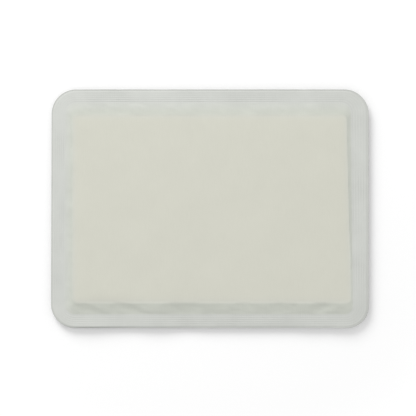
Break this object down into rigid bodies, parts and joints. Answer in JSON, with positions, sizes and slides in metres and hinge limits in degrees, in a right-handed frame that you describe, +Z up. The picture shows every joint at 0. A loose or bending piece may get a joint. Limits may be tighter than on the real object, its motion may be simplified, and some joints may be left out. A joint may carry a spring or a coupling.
{
  "type": "super absorbent dressing",
  "caption": "Flat rectangular super absorbent wound dressing: a cellulose core shut in between two nonwoven covers welded all round in a ribbed border.",
  "frame": {"origin": "the middle of the underside, on the surface that the dressing lies on", "axes": "+X along the long side, +Y along the short side, +Z up, out of the front cover"},
  "size_m": [0.2, 0.15, 0.0051],
  "materials": {
    "front_nonwoven": "matte",
    "absorbent_fluff": "matte",
    "back_nonwoven": "matte"
  },
  "bodies": {
    "root": {"front_cover": "front_nonwoven", "absorbent_core": "absorbent_fluff", "back_cover": "back_nonwoven"}
  },
  "joints": []
}
